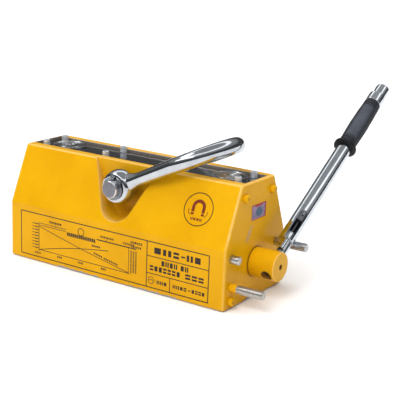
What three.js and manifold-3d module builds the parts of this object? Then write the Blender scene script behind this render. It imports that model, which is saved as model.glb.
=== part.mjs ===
// A hand-switched permanent lifting magnet: a steel block with a turning magnet core, a bail and a handle.
// Millimetres. X runs along the block towards the handle end, Z runs up from the pole faces, and the front
// is towards -Y. The sizes below are measured from the middle of the pole faces; the last lines move the
// whole assembly so that its origin is the bottom centre of its bounding box.
import * as THREE from "three";
import { mergeVertices } from "three/addons/utils/BufferGeometryUtils.js";
import Module from "manifold-3d";

const wasm = await Module();
wasm.setup();

// ---------- driving dimensions ----------
const GAP = 0.3; // between pieces that touch or fit together
const PAST = 5; // how far a cutter runs past the face it cuts
const degrees = THREE.MathUtils.degToRad;

const BLOCK = { length: 380, width: 155, topWidth: 85, knee: 84.5, height: 167, bevel: 2 };
const END_PLATE = 14;
const GROOVE = { halfWidth: 28, depth: 6 }; // shallow vee along the underside, for round bars
const SPACER_HALF = 12;
const SLOT_HALF = 14; // slot between the poles above the core
const RECESS = { halfWidth: 29, halfLength: 185, floor: 156.7 };
const PLATE_TOP = 163;
const POCKET = { floorY: 42, topHalf: 55.4, lean: 0.48, radius: 28.2, centreZ: 116.7 };

const CORE = { z: 52.5, radius: 41, bore: 41.3, halfMagnet: 12, disc: 40, discWidth: 9.4 };
const SHAFT = { radius: 15, bush: 20 };
const BACK_WALL = 2; // what the far end plate keeps behind the shaft's blind bore
const CORE_ROOM = 3; // between the core's bore and the strips above and below it
const MAGNET_ROOM = { share: 0.95, edge: 2 }; // how far the core's magnet stays inside the turned poles
const HUB = { radius: 20.5, start: 190.6, end: 230, chamfer: 1, centreHole: 2.9, centreDepth: 3.5 };

const TOP_SCREW = {
  x: [-169, -56, 56, 169], y: 21, shank: 3, head: 5, under: 165, top: 171.8, end: 146, room: 1,
};
const END_SCREW = { low: [62, 12], high: [35, 148], shank: 3.7, head: 5.8, height: 6.5, depth: 25 };
const SOCKET = { chamfer: 0.6, depth: 0.65, radius: 0.58 }; // depth and radius as shares of the head's
const WASHER = { inner: 3.4, outer: 5.2, bottom: 163.3, top: 164.7, split: 1.2 };
const PLUG = {
  x: 142, radius: 26, rim: 2.2, boss: 9, bottom: 163.3, face: 164.7, top: 165.6, edge: 0.4,
  step: 0.6,
};
const STOP = { radius: 6, seat: 178, chamfer: 0.8 };
const STOPS = {
  long_stop_rear: { y: 54, z: 68.1, end: 240 },
  long_stop_front: { y: -60, z: 31, end: 240 },
  short_stop_front: { y: -62, z: 71, end: 203 },
};

const BAIL = {
  z: 136, reach: 159, halfSpan: 58, bar: 10.2, eye: 25, eyeHalf: 15, root: 19, hole: 12.9,
  rest: 25.8,
};
const PIN = { radius: 12.5, half: 83.5, chamfer: 1, groove: 11.7, grooveAt: [74.5, 76.4] };
const CIRCLIP = {
  inner: 12, outer: 16.3, width: 1.5, lug: 3, lugHole: 1.25, lugAt: 16.4, gap: 11, lugTurn: 23,
  turn: 21,
};

// The handle stands on the hub. Its own frame has z along the handle from the core's axis and x along the block.
const HANDLE = { x: 218, rest: 32.1 };
const SHANK = { radius: 7.5, hole: 7.8, from: -13, to: 43.3 };
const TUBE = { x: -2.6, y: -2.2, outer: 11.35, bore: 9.35, from: 43.5, to: 348.5 };
const FACING = -50.3; // direction, about the handle, that the latch slot faces
const SLOT = { half: 5.2, from: 46.5, to: 97.5 };
const SHANK_PLUG = { radius: 9.05, to: 57 };
const LATCH = { offset: 4.3, rod: 2.5, from: 33, to: 372, collar: 4, collarAt: [150, 153] };
const GUIDE = { outer: 4.4, bore: 2.9, from: 24, seat: 22.5 };
const KEY = {
  half: 4.9, from: 79.3, to: 96.8, reach: 11.1, body: 9, bodyTo: 91, dimple: 1.6, dimpleDepth: 1.5,
  dimpleAt: 88,
};
const SEAT = { from: 112, to: 116 };
const SPRING = { radius: 3.4, wire: 0.55, turns: 7, from: 117.2, to: 148.8 };
const SLEEVE = { radius: 12.75, bore: 11.65, from: 341.8, shoulder: 348.8, to: 360, chamfer: 1.2 };
const KNOB = {
  offset: 1.2, radius: 10.8, from: 358, to: 382, rounding: 3, dome: [30, 60, 90], socket: 2.8,
};
const GRIP = { bore: 11.65, from: 238.5, to: 341.5 };
const GRIP_OUTLINE = [
  [16.6, 238.5], [17.4, 239.5], [17.4, 243], [16.4, 244], [13.6, 246], [13.2, 252],
  [13.8, 272], [14.1, 290], [13.7, 312], [13.0, 334], [12.6, 340.5], [12.0, 341.5],
];

const COLOURS = {
  paint: { color: 0xf0b020, roughness: 0.35, metalness: 0.0 },
  chrome: { color: 0xd8dade, roughness: 0.08, metalness: 1.0 },
  steel: { color: 0x9a9ca0, roughness: 0.35, metalness: 1.0 },
  zinc: { color: 0xc0c2c6, roughness: 0.3, metalness: 1.0 },
  brass: { color: 0xb5924c, roughness: 0.35, metalness: 1.0 },
  magnet: { color: 0x55575c, roughness: 0.3, metalness: 1.0 },
  rubber: { color: 0x232427, roughness: 0.7, metalness: 0.0 },
};

// ---------- solids ----------
// A closed three.js geometry as a manifold solid, with shared vertices merged and collapsed triangles dropped.
function solid(geometry, matrix = new THREE.Matrix4()) {
  const bare = geometry.clone().applyMatrix4(matrix);
  bare.deleteAttribute("normal");
  bare.deleteAttribute("uv");
  const merged = mergeVertices(bare, 1e-4);
  const triangles = [];
  for (let i = 0; i < merged.index.count; i += 3) {
    const [a, b, c] = [0, 1, 2].map((k) => merged.index.getX(i + k));
    if (a !== b && b !== c && c !== a) triangles.push(a, b, c);
  }
  return new wasm.Manifold(
    new wasm.Mesh({
      numProp: 3,
      vertProperties: merged.attributes.position.array,
      triVerts: new Uint32Array(triangles),
    }),
  );
}

function geometryOf(shape) {
  const mesh = shape.getMesh();
  const geometry = new THREE.BufferGeometry();
  geometry.setAttribute("position", new THREE.BufferAttribute(mesh.vertProperties, 3));
  geometry.setIndex(new THREE.BufferAttribute(mesh.triVerts, 1));
  const flat = geometry.toNonIndexed();
  flat.computeVertexNormals();
  return flat;
}

const cut = (shape, ...tools) => tools.reduce((left, tool) => left.subtract(tool), shape);
const join = (shape, ...others) => others.reduce((sum, other) => sum.add(other), shape);

function box([x0, x1], [y0, y1], [z0, z1]) {
  const middle = new THREE.Matrix4().makeTranslation((x0 + x1) / 2, (y0 + y1) / 2, (z0 + z1) / 2);
  return solid(new THREE.BoxGeometry(x1 - x0, y1 - y0, z1 - z0), middle);
}

// Frames whose third direction is the axis of a turned or extruded solid.
const X = new THREE.Vector3(1, 0, 0);
const Y = new THREE.Vector3(0, 1, 0);
const Z = new THREE.Vector3(0, 0, 1);
const alongX = new THREE.Matrix4().makeBasis(Y, Z, X);
const alongY = new THREE.Matrix4().makeBasis(Z, X, Y);
const alongZ = new THREE.Matrix4();
const placed = (frame, x, y, z) => new THREE.Matrix4().makeTranslation(x, y, z).multiply(frame);

// A solid turned from [radius, height] points that start and end on the axis; the frame's third axis is its own.
function turned(points, sides, frame = alongZ) {
  const profile = points.map(([r, h]) => new THREE.Vector2(r, h));
  const upright = new THREE.Matrix4().makeRotationX(Math.PI / 2);
  return solid(new THREE.LatheGeometry(profile, sides), frame.clone().multiply(upright));
}

const rod = (radius, from, to, sides, frame) =>
  turned([[0, from], [radius, from], [radius, to], [0, to]], sides, frame);

const chamferedRod = (radius, from, to, chamfer, sides, frame) =>
  turned(
    [[0, from], [radius, from], [radius, to - chamfer], [radius - chamfer, to], [0, to]],
    sides,
    frame,
  );

const ring = (inner, outer, from, to, sides, frame) =>
  turned([[inner, from], [outer, from], [outer, to], [inner, to], [inner, from]], sides, frame);

// An outline drawn in a frame's first two directions and extruded along its third.
function prism(outline, from, to, frame) {
  const settings = { depth: to - from, bevelEnabled: false, curveSegments: 10 };
  const geometry = new THREE.ExtrudeGeometry(outline, settings);
  geometry.translate(0, 0, from);
  return solid(geometry, frame);
}

const polygon = (points) => new THREE.Shape(points.map(([a, b]) => new THREE.Vector2(a, b)));

function swept(path, radius, sides, steps) {
  const circle = new THREE.Shape().absarc(0, 0, radius, 0, 2 * Math.PI, false);
  const section = new THREE.Shape(circle.getSpacedPoints(sides).slice(0, -1));
  return solid(new THREE.ExtrudeGeometry(section, { steps, extrudePath: path, bevelEnabled: false }));
}

// ---------- the assembly ----------
const magnetLifter = new THREE.Group();

function add(name, shape, look, parent = magnetLifter) {
  const mesh = new THREE.Mesh(geometryOf(shape), new THREE.MeshStandardMaterial(COLOURS[look]));
  mesh.name = name;
  parent.add(mesh);
}

const half = BLOCK.length / 2;
const inside = half - END_PLATE; // the end plates' inner faces
const poleEnd = inside - GAP;
const coreFrame = placed(alongX, 0, 0, CORE.z);

// Section of one pole, drawn in (outward distance, height).
const GROOVE_SLOPE = GROOVE.depth / GROOVE.halfWidth;
const POLE_SECTION = [
  [SPACER_HALF, GROOVE.depth - SPACER_HALF * GROOVE_SLOPE],
  [GROOVE.halfWidth, 0],
  [BLOCK.width / 2 - BLOCK.bevel, 0],
  [BLOCK.width / 2, BLOCK.bevel],
  [BLOCK.width / 2, BLOCK.knee],
  [BLOCK.topWidth / 2, BLOCK.height],
  [RECESS.halfWidth, BLOCK.height],
  [RECESS.halfWidth, RECESS.floor],
  [SLOT_HALF, RECESS.floor],
  [SLOT_HALF, CORE.z],
  [SPACER_HALF, CORE.z],
];

// Outline of a bail pocket in (length, height): leaning sides tangent to a round bottom.
function pocketOutline() {
  const tangent = Math.atan(POCKET.lean);
  const topZ = BLOCK.height + PAST;
  const topHalf = POCKET.topHalf + PAST * POCKET.lean;
  const outline = new THREE.Shape();
  outline.moveTo(-topHalf, topZ);
  outline.lineTo(-POCKET.radius * Math.cos(tangent), POCKET.centreZ - POCKET.radius * Math.sin(tangent));
  outline.absarc(0, POCKET.centreZ, POCKET.radius, Math.PI + tangent, 2 * Math.PI - tangent, false);
  outline.lineTo(topHalf, topZ);
  return outline;
}

// side is -1 at the front and 1 at the rear.
function pole(side) {
  const outline = polygon(POLE_SECTION.map(([y, z]) => [side * y, z]));
  const body = prism(outline, -poleEnd, poleEnd, alongX);
  const pocketFrame = new THREE.Matrix4().makeBasis(X, Z, new THREE.Vector3(0, -1, 0));
  const [near, far] = [POCKET.floorY, BLOCK.width / 2 + PAST];
  const pocket = side < 0 ? [near, far] : [-far, -near];
  const endScrewHoles = [END_SCREW.low, END_SCREW.high].flatMap(([y, z]) => {
    const frame = placed(alongX, 0, side * y, z);
    const [from, to] = [half - END_SCREW.depth - GAP, half];
    return [[from, to], [-to, -from]].map((span) => rod(END_SCREW.shank + GAP, ...span, 12, frame));
  });
  const topScrewHoles = TOP_SCREW.x.map((x) =>
    rod(TOP_SCREW.shank + GAP, TOP_SCREW.end - TOP_SCREW.room, PLATE_TOP, 12, placed(alongZ, x, side * TOP_SCREW.y, 0)),
  );
  return cut(
    body,
    rod(CORE.bore, -half, half, 40, coreFrame),
    prism(pocketOutline(), ...pocket, pocketFrame),
    rod(PIN.radius + GAP, -half, half, 24, placed(alongY, 0, 0, BAIL.z)),
    ...endScrewHoles,
    ...topScrewHoles,
  );
}

function bottomSpacer() {
  const halfWidth = SPACER_HALF - GAP;
  const outline = polygon([
    [-halfWidth, GROOVE.depth - halfWidth * GROOVE_SLOPE],
    [0, GROOVE.depth],
    [halfWidth, GROOVE.depth - halfWidth * GROOVE_SLOPE],
    [halfWidth, CORE.z - CORE.bore + CORE_ROOM],
    [-halfWidth, CORE.z - CORE.bore + CORE_ROOM],
  ]);
  return cut(prism(outline, -poleEnd, poleEnd, alongX), rod(CORE.bore, -half, half, 40, coreFrame));
}

const fillsSlot = (from, to) =>
  box([from, to], [GAP - SLOT_HALF, SLOT_HALF - GAP], [CORE.z + CORE.bore + CORE_ROOM, RECESS.floor - GAP]);

const PIN_BLOCK_HALF = 26;
const pinBlock = () =>
  cut(
    fillsSlot(-PIN_BLOCK_HALF, PIN_BLOCK_HALF),
    rod(PIN.radius + GAP, -half, half, 24, placed(alongY, 0, 0, BAIL.z)),
  );

function topPlate() {
  const [x, y] = [RECESS.halfLength - GAP, RECESS.halfWidth - GAP];
  const holes = TOP_SCREW.x.flatMap((at) =>
    [-1, 1].map((side) =>
      rod(TOP_SCREW.shank + GAP, 0, BLOCK.height, 12, placed(alongZ, at, side * TOP_SCREW.y, 0)),
    ),
  );
  return cut(box([-x, x], [-y, y], [RECESS.floor + GAP, PLATE_TOP]), ...holes);
}

// end is 1 at the handle end and -1 at the far end, where the bush sits in a blind bore.
function endPlate(end) {
  const outer = POLE_SECTION.slice(1, 6);
  const outline = polygon([...outer, ...outer.toReversed().map(([y, z]) => [-y, z]), [0, GROOVE.depth]]);
  const plate = prism(outline, Math.min(end * inside, end * half), Math.max(end * inside, end * half), alongX);
  const along = (radius, from, to, sides, frame) =>
    end > 0 ? rod(radius, from, to, sides, frame) : rod(radius, -to, -from, sides, frame);
  const screwHoles = [END_SCREW.low, END_SCREW.high].flatMap(([y, z]) =>
    [-1, 1].map((side) =>
      along(END_SCREW.shank + GAP, inside - PAST, half + PAST, 12, placed(alongX, 0, side * y, z)),
    ),
  );
  const boreEnd = end > 0 ? half + PAST : half - BACK_WALL;
  const stopHoles = Object.values(STOPS).map(({ y, z }) =>
    rod(STOP.radius + GAP, STOP.seat - GAP, half + PAST, 20, placed(alongX, 0, y, z)),
  );
  return cut(
    plate,
    along(SHAFT.bush, inside - PAST, boreEnd, 32, coreFrame),
    box(
      [-RECESS.halfLength, RECESS.halfLength],
      [-RECESS.halfWidth, RECESS.halfWidth],
      [RECESS.floor, BLOCK.height + PAST],
    ),
    ...screwHoles,
    ...(end > 0 ? stopHoles : []),
  );
}

function socketScrew(shank, headRadius, tip, under, top, frame) {
  const { chamfer, depth, radius } = SOCKET;
  const body = turned(
    [[0, tip], [shank, tip], [shank, under], [headRadius, under], [headRadius, top - chamfer],
      [headRadius - chamfer, top], [0, top]],
    12,
    frame,
  );
  return cut(body, rod(headRadius * radius, top - headRadius * depth, top + PAST, 6, frame));
}

function springWasher(frame) {
  const washer = ring(WASHER.inner, WASHER.outer, WASHER.bottom, WASHER.top, 10, frame);
  const split = box([0, 2 * PAST], [-WASHER.split / 2, WASHER.split / 2], [0, BLOCK.height]);
  const turn = new THREE.Matrix4().makeTranslation(...new THREE.Vector3().setFromMatrixPosition(frame));
  return cut(washer, split.transform(turn.elements));
}

function plug(frame) {
  const { radius, rim, boss, bottom, face, top, edge, step } = PLUG;
  const outline = [
    [0, bottom], [radius, bottom], [radius, top - edge], [radius - edge, top], [radius - rim, top],
    [radius - rim - step, face], [boss, face], [boss - step, face - step], [0, face - step],
  ];
  return turned(outline, 24, frame);
}

function bailPin() {
  const { radius, half: end, chamfer, groove, grooveAt } = PIN;
  const right = [
    [radius, grooveAt[0]], [groove, grooveAt[0]], [groove, grooveAt[1]], [radius, grooveAt[1]],
    [radius, end - chamfer], [radius - chamfer, end], [0, end],
  ];
  const left = right.toReversed().map(([r, h]) => [r, -h]);
  return turned([...left, ...right], 24, placed(alongY, 0, 0, BAIL.z));
}

// An open ring with two eyed lugs; the gap points up and a little towards the handle end.
function circlip(side) {
  const { inner, outer, width, lug, lugHole, lugAt, lugTurn, gap, turn } = CIRCLIP;
  const frame = placed(new THREE.Matrix4().makeBasis(X, Z, new THREE.Vector3(0, -1, 0)), 0, 0, BAIL.z);
  const middle = -side * (PIN.grooveAt[0] + PIN.grooveAt[1]) / 2;
  const [from, to] = [middle - width / 2, middle + width / 2];
  const up = degrees(90 - turn);
  const lugs = [-1, 1].map((hand) => {
    const angle = up + hand * degrees(lugTurn);
    const at = frame.clone().multiply(placed(alongZ, lugAt * Math.cos(angle), lugAt * Math.sin(angle), 0));
    return { outside: rod(lug, from, to, 10, at), hole: rod(lugHole, from - 1, to + 1, 8, at) };
  });
  const open = polygon([
    [0, 0],
    [2 * outer * Math.cos(up - degrees(gap)), 2 * outer * Math.sin(up - degrees(gap))],
    [2 * outer * Math.cos(up + degrees(gap)), 2 * outer * Math.sin(up + degrees(gap))],
  ]);
  const band = cut(ring(inner, outer, from, to, 28, frame), prism(open, from - 1, to + 1, frame));
  const whole = join(band, ...lugs.map((l) => l.outside));
  return cut(whole, ...lugs.map((l) => l.hole), rod(inner, from - 1, to + 1, 28, frame));
}

// Housing.
add("front_pole", pole(-1), "paint");
add("rear_pole", pole(1), "paint");
add("bottom_spacer", bottomSpacer(), "brass");
add("pin_block", pinBlock(), "steel");
add("fixed_magnet_far", fillsSlot(-poleEnd, -PIN_BLOCK_HALF - GAP), "magnet");
add("fixed_magnet_drive", fillsSlot(PIN_BLOCK_HALF + GAP, poleEnd), "magnet");
add("top_plate", topPlate(), "chrome");
add("end_plate_drive", endPlate(1), "paint");
add("end_plate_far", endPlate(-1), "paint");
const bush = (from, to) => ring(SHAFT.radius + GAP, SHAFT.bush - GAP, from, to, 32, coreFrame);
add("bush_drive", bush(inside + GAP, half - GAP), "brass");
add("bush_far", bush(BACK_WALL + GAP - half, -inside - GAP), "brass");
add("top_plug_drive", plug(placed(alongZ, PLUG.x, 0, 0)), "chrome");
add("top_plug_far", plug(placed(alongZ, -PLUG.x, 0, 0)), "chrome");
TOP_SCREW.x
  .flatMap((x) => [-1, 1].map((side) => placed(alongZ, x, side * TOP_SCREW.y, 0)))
  .forEach((frame, i) => {
    const { shank, head, end, under, top } = TOP_SCREW;
    add(`top_screw_${i + 1}`, socketScrew(shank, head, end, under, top, frame), "zinc");
    add(`spring_washer_${i + 1}`, springWasher(frame), "zinc");
  });
for (const [end, side] of [[1, "drive"], [-1, "far"]]) {
  const outward = new THREE.Matrix4().makeBasis(new THREE.Vector3(0, end, 0), Z, new THREE.Vector3(end, 0, 0));
  [END_SCREW.low, END_SCREW.high]
    .flatMap(([y, z]) => [-y, y].map((at) => placed(outward, 0, at, z)))
    .forEach((frame, i) => {
      const { shank, head, height, depth } = END_SCREW;
      const screw = socketScrew(shank, head, half - depth, half + GAP, half + height, frame);
      add(`end_screw_${side}_${i + 1}`, screw, "paint");
    });
}
for (const [name, { y, z, end }] of Object.entries(STOPS))
  add(name, chamferedRod(STOP.radius, STOP.seat, end, STOP.chamfer, 20, placed(alongX, 0, y, z)), "zinc");
add("bail_pin", bailPin(), "steel");
add("circlip_front", circlip(-1), "steel");
add("circlip_rear", circlip(1), "steel");

// Turning core.
function corePole(side) {
  const slab = box(
    [GAP - poleEnd + CORE.discWidth, poleEnd - CORE.discWidth - GAP],
    [-CORE.radius, CORE.radius],
    side > 0
      ? [CORE.z + CORE.halfMagnet + GAP, CORE.z + CORE.radius]
      : [CORE.z - CORE.radius, CORE.z - CORE.halfMagnet - GAP],
  );
  return rod(CORE.radius, -half, half, 40, coreFrame).intersect(slab);
}

function coreMagnet() {
  const reach = (CORE.radius - MAGNET_ROOM.edge) * MAGNET_ROOM.share;
  const length = poleEnd - CORE.discWidth - GAP;
  return box([-length, length], [-reach, reach], [CORE.z - CORE.halfMagnet, CORE.z + CORE.halfMagnet]);
}

const discStart = poleEnd - CORE.discWidth;
function farDisc() {
  const { radius } = SHAFT;
  const end = half - BACK_WALL - GAP;
  const outline = [
    [0, -end], [radius, -end], [radius, -poleEnd], [CORE.disc, -poleEnd], [CORE.disc, -discStart],
    [0, -discStart],
  ];
  return turned(outline, 32, coreFrame);
}

function driveHub() {
  const { radius, start, end, chamfer, centreHole, centreDepth } = HUB;
  const body = turned(
    [[0, discStart + GAP], [SHAFT.radius, discStart + GAP], [SHAFT.radius, start], [radius, start],
      [radius, end - chamfer], [radius - chamfer, end], [0, end]],
    32,
    coreFrame,
  );
  const crossFrame = placed(handleTilt(), HANDLE.x, 0, CORE.z);
  return cut(
    body,
    rod(SHANK.hole, -2 * radius, 2 * radius, 20, crossFrame),
    rod(centreHole, end - centreDepth, end + PAST, 12, coreFrame),
  );
}

function handleTilt() {
  return new THREE.Matrix4().makeRotationX(-degrees(90 - HANDLE.rest));
}

add("core_pole_upper", corePole(1), "steel");
add("core_pole_lower", corePole(-1), "steel");
add("core_magnet", coreMagnet(), "magnet");
add("core_disc_drive", ring(SHAFT.radius + GAP, CORE.disc, discStart, poleEnd, 32, coreFrame), "brass");
add("core_disc_far", farDisc(), "steel");
add("drive_hub", driveHub(), "paint");

// Handle and latch, in the handle's own frame.
const handle = new THREE.Group();
handle.position.set(HANDLE.x, 0, CORE.z);
handle.rotation.x = -degrees(90 - HANDLE.rest);
magnetLifter.add(handle);

const facing = new THREE.Vector3(Math.cos(degrees(FACING)), Math.sin(degrees(FACING)), 0);
const across = new THREE.Vector3().crossVectors(Z, facing);
const tubeAxis = placed(alongZ, TUBE.x, TUBE.y, 0);
const onTube = (direction, distance) =>
  placed(alongZ, TUBE.x + direction.x * distance, TUBE.y + direction.y * distance, 0);
const latchAxis = onTube(facing, LATCH.offset);
const knobAxis = onTube(across, KNOB.offset);

function shank() {
  const stem = rod(SHANK.radius, SHANK.from, SHANK.to, 24, alongZ);
  const inTube = rod(SHANK_PLUG.radius, SHANK.to - GAP, SHANK_PLUG.to, 24, tubeAxis);
  return cut(join(stem, inTube), rod(GUIDE.outer + GAP, GUIDE.seat, SHANK_PLUG.to + PAST, 16, latchAxis));
}

// The latch slot's outline in (across, along the handle), with a round outer end.
function slotOutline(halfWidth, from, to) {
  const outline = new THREE.Shape();
  outline.moveTo(-halfWidth, from);
  outline.lineTo(halfWidth, from);
  outline.absarc(0, to - halfWidth, halfWidth, 0, Math.PI, false);
  return outline;
}

const slotFrame = new THREE.Matrix4().makeBasis(across, Z, facing).setPosition(TUBE.x, TUBE.y, 0);

function tube() {
  const wall = ring(TUBE.bore, TUBE.outer, TUBE.from, TUBE.to, 28, tubeAxis);
  return cut(wall, prism(slotOutline(SLOT.half, SLOT.from, SLOT.to), 0, TUBE.outer + PAST, slotFrame));
}

function latchKey() {
  const tab = prism(slotOutline(KEY.half, KEY.from, KEY.to), 0, KEY.reach, slotFrame);
  const round = rod(KEY.reach, KEY.from, KEY.to, 32, tubeAxis);
  const dimpleFrame = slotFrame.clone().multiply(new THREE.Matrix4().makeTranslation(0, KEY.dimpleAt, 0));
  return cut(
    join(tab.intersect(round), rod(KEY.body, KEY.from, KEY.bodyTo, 24, tubeAxis)),
    rod(LATCH.rod + GAP, 0, TUBE.to, 12, latchAxis),
    rod(KEY.dimple, KEY.reach - KEY.dimpleDepth, TUBE.outer, 12, dimpleFrame),
  );
}

function latchRod() {
  const { rod: radius, from, to, collar, collarAt } = LATCH;
  const outline = [
    [0, from], [radius, from], [radius, collarAt[0]], [collar, collarAt[0]], [collar, collarAt[1]],
    [radius, collarAt[1]], [radius, to], [0, to],
  ];
  return turned(outline, 12, latchAxis);
}

class Helix extends THREE.Curve {
  getPoint(t) {
    const turn = 2 * Math.PI * SPRING.turns * t;
    const [cx, cy] = [latchAxis.elements[12], latchAxis.elements[13]];
    const height = SPRING.from + (SPRING.to - SPRING.from) * t;
    return new THREE.Vector3(cx + SPRING.radius * Math.cos(turn), cy + SPRING.radius * Math.sin(turn), height);
  }
}

function sleeve() {
  const { radius, bore, from, shoulder, to, chamfer } = SLEEVE;
  const outline = [[0, from], [radius, from], [radius, to - chamfer], [radius - chamfer, to], [0, to]];
  return cut(
    turned(outline, 32, tubeAxis),
    rod(bore, from - PAST, shoulder, 32, tubeAxis),
    rod(KNOB.radius + GAP, from, to + PAST, 32, knobAxis),
  );
}

function knob() {
  const { radius, from, to, rounding, socket } = KNOB;
  const dome = KNOB.dome.map((a) => [
    radius - rounding + rounding * Math.cos(degrees(a)),
    to - rounding + rounding * Math.sin(degrees(a)),
  ]);
  const outline = [[0, from], [radius, from], [radius, to - rounding], ...dome, [0, to]];
  return cut(turned(outline, 32, knobAxis), rod(socket, from - PAST, LATCH.to + GAP, 12, latchAxis));
}

function grip() {
  const outline = [[GRIP.bore, GRIP.to], [GRIP.bore, GRIP.from], ...GRIP_OUTLINE, [GRIP.bore, GRIP.to]];
  return turned(outline, 24, tubeAxis);
}

add("handle_shank", shank(), "chrome", handle);
add("handle_tube", tube(), "chrome", handle);
add("latch_guide", ring(GUIDE.bore, GUIDE.outer, GUIDE.from, SHANK_PLUG.to, 16, latchAxis), "chrome", handle);
const seatHole = rod(LATCH.rod + GAP, 0, TUBE.to, 12, latchAxis);
add("spring_seat", cut(rod(SHANK_PLUG.radius, SEAT.from, SEAT.to, 24, tubeAxis), seatHole), "steel", handle);
add("tip_sleeve", sleeve(), "chrome", handle);
add("handle_grip", grip(), "rubber", handle);
add("latch_rod", latchRod(), "steel", handle);
add("latch_key", latchKey(), "steel", handle);
add("latch_knob", knob(), "chrome", handle);
add("latch_spring", swept(new Helix(), SPRING.wire, 4, SPRING.turns * 8), "steel", handle);

// Bail, in its own frame with x along its reach from the pin.
class BailBar extends THREE.Curve {
  getPoint(t) {
    const { reach, halfSpan, root: start } = BAIL;
    const straight = reach - halfSpan - start;
    const bend = Math.PI * halfSpan;
    const at = t * (2 * straight + bend);
    if (at < straight) return new THREE.Vector3(start + at, -halfSpan, 0);
    if (at > straight + bend) return new THREE.Vector3(start + 2 * straight + bend - at, halfSpan, 0);
    const angle = (at - straight) / halfSpan;
    return new THREE.Vector3(start + straight + halfSpan * Math.sin(angle), -halfSpan * Math.cos(angle), 0);
  }
}

function bailEye(side) {
  const { eye, eyeHalf, halfSpan } = BAIL;
  const widest = Math.asin(eyeHalf / eye);
  const count = 4;
  const arc = Array.from({ length: count + 1 }, (_, i) => {
    const angle = -widest + (2 * widest * i) / count;
    return [eye * Math.cos(angle), eye * Math.sin(angle)];
  });
  return turned([[0, -eyeHalf], ...arc, [0, eyeHalf]], 28, placed(alongY, 0, side * halfSpan, 0));
}

function bailShape() {
  const bar = swept(new BailBar(), BAIL.bar, 12, 40);
  return cut(join(bar, bailEye(-1), bailEye(1)), rod(BAIL.hole, -half, half, 28, alongY));
}

const bail = new THREE.Group();
bail.position.z = BAIL.z;
bail.rotation.y = -degrees(BAIL.rest);
magnetLifter.add(bail);
add("bail", bailShape(), "chrome", bail);

// The origin goes to the bottom centre of the bounding box.
const extent = new THREE.Box3().setFromObject(magnetLifter);
const centre = extent.getCenter(new THREE.Vector3());
magnetLifter.position.set(-centre.x, -centre.y, -extent.min.z);

export default magnetLifter;
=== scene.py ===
import random
from functools import partial, reduce
from math import asin, atan, cos, exp, hypot, pi, radians, sin, tan

import bmesh
import bpy
from mathutils import Matrix, Vector


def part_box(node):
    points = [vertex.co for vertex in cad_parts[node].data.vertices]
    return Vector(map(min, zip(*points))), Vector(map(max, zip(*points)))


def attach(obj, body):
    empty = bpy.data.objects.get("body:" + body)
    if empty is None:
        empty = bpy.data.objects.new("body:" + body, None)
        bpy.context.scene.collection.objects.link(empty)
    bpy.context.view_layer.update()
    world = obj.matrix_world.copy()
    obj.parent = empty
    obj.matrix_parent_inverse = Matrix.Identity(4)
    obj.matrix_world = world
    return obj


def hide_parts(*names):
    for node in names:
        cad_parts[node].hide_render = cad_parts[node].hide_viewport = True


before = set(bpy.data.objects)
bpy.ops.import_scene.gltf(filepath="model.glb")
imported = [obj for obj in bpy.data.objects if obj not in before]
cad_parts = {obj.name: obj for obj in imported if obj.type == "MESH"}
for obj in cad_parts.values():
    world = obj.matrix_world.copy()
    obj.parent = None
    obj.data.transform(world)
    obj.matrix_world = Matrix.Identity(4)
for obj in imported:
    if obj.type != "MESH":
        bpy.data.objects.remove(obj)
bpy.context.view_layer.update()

# ---------- the block's own frame ----------
# In millimetres. X runs along the block to the handle end, and Z goes up from the pole faces.
MM = 0.001
TURN = 2 * pi
X, Y, Z = Vector((1, 0, 0)), Vector((0, 1, 0)), Vector((0, 0, 1))
far_end, drive_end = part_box("end_plate_far"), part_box("end_plate_drive")
front_side, rear_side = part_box("front_pole"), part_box("rear_pole")
middle_x = (far_end[0].x + drive_end[1].x) / 2
middle_y = (front_side[0].y + rear_side[1].y) / 2
BLOCK = Matrix.Translation((middle_x, middle_y, front_side[0].z))


def basis(a, b, c):
    return Matrix((a, b, c)).transposed().to_4x4()


def at(x=0, y=0, z=0, turn=None):
    """A frame at a point of the block."""
    place = BLOCK @ Matrix.Translation(Vector((x, y, z)) * MM)
    return place @ turn if turn else place


ALONG_X = basis(Y, Z, X)
ALONG_Y = basis(Z, X, Y)
FROM_FRONT = basis(X, Z, -Y)

HALF, INSIDE = 190, 176  # half the length of the block, and of the poles between its end plates
CORE_Z, PIN_Z = 52.5, 136  # the axes of the core and of the bail's pin
KNEE_Z, TOP_Z = 84.5, 167  # where the sides start to slope, and the top
SIDE_Y, TOP_Y = 77.5, 42.5  # half widths below the knee and at the top
GROOVE = (28, 6)  # half width and depth
RECESS = {"half": 29, "length": 185, "floor": 156.7}
POCKET = {"floor": 41.4, "top": 55.4, "lean": 0.48, "radius": 28.2, "z": 116.7}
POCKET_REACH, POCKET_LOW = 57, 86  # no pocket is wider than this, or lower
SLOPE = (SIDE_Y - TOP_Y) / (TOP_Z - KNEE_Z)
CROSS_HOLE, CENTRE_HOLE = 7.8, 3.7  # radii of the hub's holes
HUB_RADIUS, HUB_END = 20.5, 230
END_ROUND, MOUTH_ROUND = 3.9, 1.8  # widths of the rounded edges of the ends and pockets

HANDLE_X, HANDLE_REST = 218, 32.1
HANDLE_TURN = radians(90 - HANDLE_REST)
HANDLE_LEAN = Matrix.Rotation(-HANDLE_TURN, 4, "X")
HANDLE = at(HANDLE_X, 0, CORE_Z, HANDLE_LEAN)
TUBE_AT = (-2.6, -2.2)
# The slot in the handle's tube faces this way about the tube's axis.
FACING = radians(-50.3)
facing = Vector((cos(FACING), sin(FACING), 0))
across = Z.cross(facing)
BAIL_REST = 25.8
BAIL = at(0, 0, PIN_Z, Matrix.Rotation(-radians(BAIL_REST), 4, "Y"))

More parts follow.
